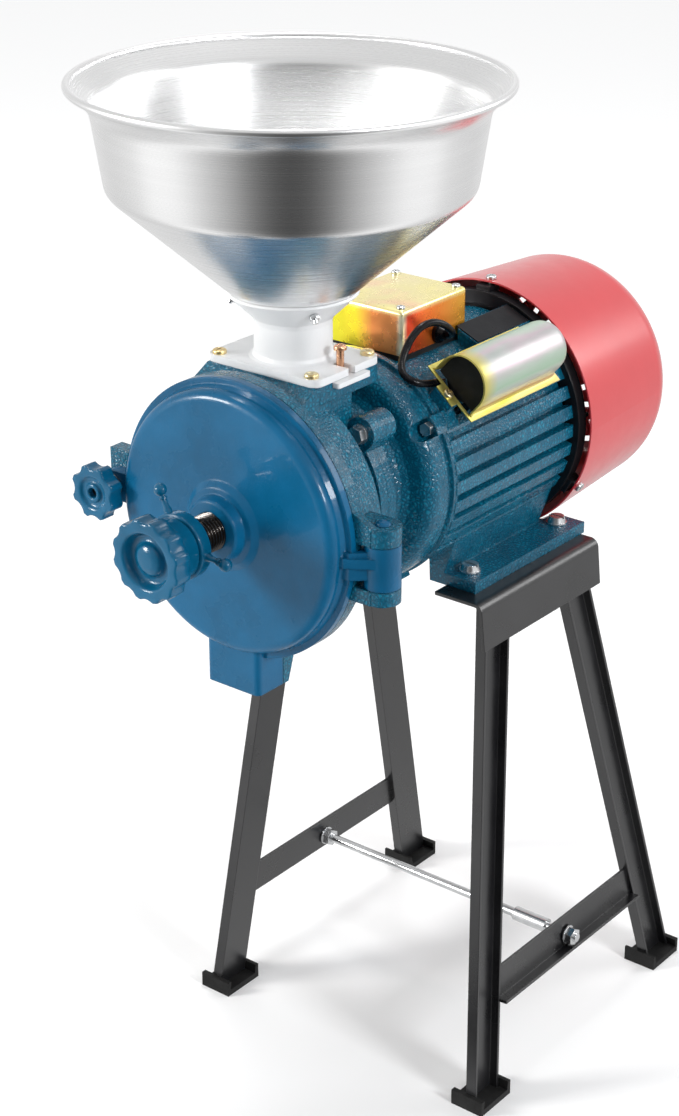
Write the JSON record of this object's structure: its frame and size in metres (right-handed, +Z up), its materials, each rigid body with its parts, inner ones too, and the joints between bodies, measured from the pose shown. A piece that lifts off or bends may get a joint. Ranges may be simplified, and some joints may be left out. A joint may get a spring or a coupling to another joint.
{
  "type": "electric grain mill",
  "caption": "Grain mill with a round steel hopper, slide gate, hinged cast grinding head with handwheel, flange motor with red fan cover, and a splayed leg stand.",
  "frame": {"origin": "on the floor, under the middle of the bounding box in X and Y", "axes": "+Z up, +X to the operator's right, +Y back along the spindle from the handwheel to the fan cover"},
  "size_m": [0.33, 0.574, 0.8774],
  "materials": {
    "stainless": "smooth spun stainless steel",
    "cast_white": "white powder coat on a casting",
    "body_blue": "dark blue hammer-tone enamel on cast iron",
    "cover_blue": "blue enamel on cast iron",
    "knob_blue": "blue enamel",
    "zinc": "bright zinc",
    "yellow_zinc": "iridescent yellow zinc",
    "pale_zinc": "pale iridescent zinc",
    "copper_tone": "copper-coloured plating",
    "dark_steel": "dark oiled steel",
    "cast_iron": "bare ground cast iron",
    "bright_steel": "ground steel",
    "lamination": "stacked steel sheet",
    "copper_wire": "varnished copper wire",
    "rotor_alu": "cast aluminium",
    "red": "glossy red enamel on pressed steel",
    "black_satin": "satin black paint",
    "black_plastic": "black plastic",
    "white_plastic": "cream moulded plastic",
    "rubber": "black rubber",
    "bare_alu": "bare aluminium plate"
  },
  "bodies": {
    "machine": {"hopper": "stainless", "hopper_screws": "zinc", "hopper_seat": "cast_white", "seat_screws": "yellow_zinc", "mill_body": "body_blue", "flange_bolts": "zinc", "hinge_pin": "zinc", "shaft_seal": "rubber", "front_shield": "body_blue", "shield_bolts": "zinc", "motor_bearings": "bright_steel", "motor_housing": "body_blue", "stator_core": "lamination", "stator_windings": "copper_wire", "rear_shield": "black_satin", "fan_cover": "red", "fan_cover_screws": "zinc", "box_base": "black_plastic", "box_lid": "yellow_zinc", "box_screws": "zinc", "terminal_block": "white_plastic", "mains_grommet": "rubber", "lead_grommet": "rubber", "capacitor_cover": "pale_zinc", "capacitor": "black_plastic", "capacitor_screws": "yellow_zinc", "capacitor_lead": "rubber", "data_plate": "bare_alu", "foot_bolts": "zinc", "rail_right": "black_satin", "rail_left": "black_satin", "legs_right": "black_satin", "legs_left": "black_satin", "crossbar_right": "black_satin", "crossbar_left": "black_satin", "tie_rod": "zinc", "tie_nuts": "zinc", "rubber_feet": "rubber"},
    "gate": {"feed_gate": "cast_white", "gate_screw": "copper_tone"},
    "cover": {"front_cover": "cover_blue", "guide_pins": "bright_steel"},
    "clamp_slide": {"clamp_washer": "zinc"},
    "clamp": {"clamp_screw": "dark_steel", "star_knob": "knob_blue"},
    "plate": {"pressure_plate": "cast_iron", "fixed_disc": "cast_iron"},
    "adjuster": {"adjusting_screw": "dark_steel", "handwheel": "knob_blue"},
    "locker": {"lock_ring": "knob_blue"},
    "spindle": {"main_shaft": "bright_steel", "feed_screw": "cast_iron", "disc_hub": "cast_iron", "moving_disc": "cast_iron", "disc_bolt": "zinc", "rotor": "rotor_alu", "cooling_fan": "black_plastic"}
  },
  "joints": [
    {"name": "gate_travel", "type": "slide", "parent": "machine", "child": "gate", "axis": [1, 0, 0], "range_m": [0, 0.055]},
    {"name": "cover_swing", "type": "hinge", "parent": "machine", "child": "cover", "pos_m": [0.1242, -0.16448, 0.553], "axis": [0, 0, 1], "range_deg": [0, 110]},
    {"name": "clamp_travel", "type": "slide", "parent": "cover", "child": "clamp_slide", "axis": [0, -1, 0], "range_m": [0, 0.009]},
    {"name": "clamp_turn", "type": "hinge", "parent": "clamp_slide", "child": "clamp", "pos_m": [-0.122, -0.17997, 0.553], "axis": [0, -1, 0], "range_deg": [0, 2161]},
    {"name": "plate_travel", "type": "slide", "parent": "cover", "child": "plate", "axis": [0, -1, 0], "range_m": [0, 0.006]},
    {"name": "handwheel_turn", "type": "hinge", "parent": "plate", "child": "adjuster", "pos_m": [0, -0.17997, 0.553], "axis": [0, -1, 0], "range_deg": [0, 1081]},
    {"name": "lock_turn", "type": "hinge", "parent": "adjuster", "child": "locker", "pos_m": [0, -0.17997, 0.553], "axis": [0, -1, 0], "range_deg": [-150, 150]},
    {"name": "spindle_spin", "type": "hinge", "parent": "machine", "child": "spindle", "pos_m": [0, -0.09598, 0.553], "axis": [0, -1, 0], "continuous": true}
  ],
  "couplings": [
    {"joint": "clamp_turn", "follows": "clamp_travel", "rad_per_m": 4188.8},
    {"joint": "handwheel_turn", "follows": "plate_travel", "rad_per_m": 3141.6}
  ]
}
